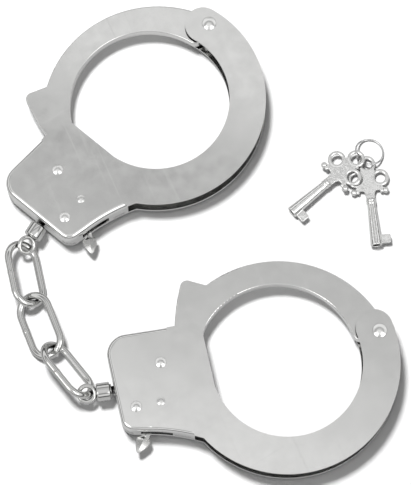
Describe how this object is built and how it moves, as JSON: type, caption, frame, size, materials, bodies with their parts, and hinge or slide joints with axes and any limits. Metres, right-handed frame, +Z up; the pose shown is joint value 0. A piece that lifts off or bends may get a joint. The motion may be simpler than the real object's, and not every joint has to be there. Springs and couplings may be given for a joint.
{
  "type": "handcuffs",
  "caption": "Swing-through chain handcuffs with ratchet arms, pawls, swivels and a linked chain, lying open flat beside a ring of small pipe keys.",
  "frame": {"origin": "centre of the bounding box of the laid-out set, on the table under it", "axes": "+Z up from the table and out of the back cheeks' faces, +Y along the length of the laid-out set towards the first cuff's pivot"},
  "size_m": [0.1377, 0.171, 0.0116],
  "materials": {
    "shell": "bright nickel plate on stamped steel",
    "arm": "bright nickel plate on stamped steel",
    "rivet": "polished domed heads",
    "lockwork": "dull nickel",
    "spring": "bright spring steel",
    "chain": "bright nickel plate on steel wire",
    "key": "nickel plate, slightly worn casting"
  },
  "bodies": {
    "link_2": {"link_2": "chain"},
    "link_1": {"link_1": "chain"},
    "link_3": {"link_3": "chain"},
    "swivel_a": {"swivel_stud_a": "chain"},
    "cuff_a": {"back_shell_a": "shell", "front_shell_a": "shell", "pivot_rivet_a": "rivet", "body_rivet_a": "rivet", "pawl_rivet_a": "rivet", "body_spacer_a": "lockwork", "pivot_spacer_front_a": "lockwork", "pivot_spacer_back_a": "lockwork", "key_post_a": "rivet", "pawl_spring_a": "spring"},
    "arm_a": {"ratchet_arm_a": "arm"},
    "pawl_a": {"pawl_a": "lockwork"},
    "lever_a": {"safety_lever_a": "lockwork"},
    "swivel_b": {"swivel_stud_b": "chain"},
    "cuff_b": {"back_shell_b": "shell", "front_shell_b": "shell", "pivot_rivet_b": "rivet", "body_rivet_b": "rivet", "pawl_rivet_b": "rivet", "body_spacer_b": "lockwork", "pivot_spacer_front_b": "lockwork", "pivot_spacer_back_b": "lockwork", "key_post_b": "rivet", "pawl_spring_b": "spring"},
    "arm_b": {"ratchet_arm_b": "arm"},
    "pawl_b": {"pawl_b": "lockwork"},
    "lever_b": {"safety_lever_b": "lockwork"},
    "key_ring": {"key_ring": "spring"},
    "key_1": {"key_1": "key"},
    "key_2": {"key_2": "key"}
  },
  "joints": [
    {"name": "link_1_hinge", "type": "hinge", "parent": "link_2", "child": "link_1", "pos_m": [-0.0574, -0.02301, 0.0045], "axis": [0, 0, 1], "range_deg": [-2, 30]},
    {"name": "link_3_hinge", "type": "hinge", "parent": "link_2", "child": "link_3", "pos_m": [-0.05346, -0.03863, 0.0045], "axis": [0, 0, 1], "range_deg": [-9, 2]},
    {"name": "swivel_a_eye", "type": "hinge", "parent": "link_1", "child": "swivel_a", "pos_m": [-0.0589, -0.0054, 0.0058], "axis": [0, 0, 1], "range_deg": [-12, 8]},
    {"name": "cuff_a_turn", "type": "hinge", "parent": "swivel_a", "child": "cuff_a", "pos_m": [-0.05648, 0.00484, 0.0058], "axis": [-0.512, -0.859, 0], "continuous": true},
    {"name": "arm_a_pivot", "type": "hinge", "parent": "cuff_a", "child": "arm_a", "pos_m": [0.00279, 0.07792, 0.0058], "axis": [0, 0, 1], "continuous": true},
    {"name": "pawl_a_pivot", "type": "hinge", "parent": "cuff_a", "child": "pawl_a", "pos_m": [-0.0507, 0.02299, 0.0058], "axis": [0, 0, -1], "range_deg": [-8, 3], "stiffness_Nm_per_rad": 0.02, "deforming": ["pawl_spring_a"]},
    {"name": "lever_a_pivot", "type": "hinge", "parent": "cuff_a", "child": "lever_a", "pos_m": [-0.04229, 0.01219, 0.0058], "axis": [0, 0, 1], "range_deg": [0, 33]},
    {"name": "swivel_b_eye", "type": "hinge", "parent": "link_3", "child": "swivel_b", "pos_m": [-0.04001, -0.05672, 0.0058], "axis": [0, 0, 1], "range_deg": [-60, 8]},
    {"name": "cuff_b_turn", "type": "hinge", "parent": "swivel_b", "child": "cuff_b", "pos_m": [-0.03, -0.05538, 0.0058], "axis": [-0.9903, -0.1392, 0], "continuous": true},
    {"name": "arm_b_pivot", "type": "hinge", "parent": "cuff_b", "child": "arm_b", "pos_m": [0.06189, -0.03528, 0.0058], "axis": [0, 0, 1], "continuous": true},
    {"name": "pawl_b_pivot", "type": "hinge", "parent": "cuff_b", "child": "pawl_b", "pos_m": [-0.01394, -0.04656, 0.0058], "axis": [0, 0, -1], "range_deg": [-8, 3], "stiffness_Nm_per_rad": 0.02, "deforming": ["pawl_spring_b"]},
    {"name": "lever_b_pivot", "type": "hinge", "parent": "cuff_b", "child": "lever_b", "pos_m": [-0.0138, -0.06025, 0.0058], "axis": [0, 0, 1], "range_deg": [0, 33]},
    {"name": "key_ring_lift", "type": "slide", "parent": "link_2", "child": "key_ring", "axis": [0, 0, 1], "range_m": [0, 0.04]},
    {"name": "key_1_swing", "type": "hinge", "parent": "key_ring", "child": "key_1", "pos_m": [0.05519, 0.02932, 0.0025], "axis": [0, 0, 1], "range_deg": [-4, 4]},
    {"name": "key_2_swing", "type": "hinge", "parent": "key_ring", "child": "key_2", "pos_m": [0.05899, 0.02772, 0.0015], "axis": [0, 0, 1], "range_deg": [-4, 4]}
  ]
}
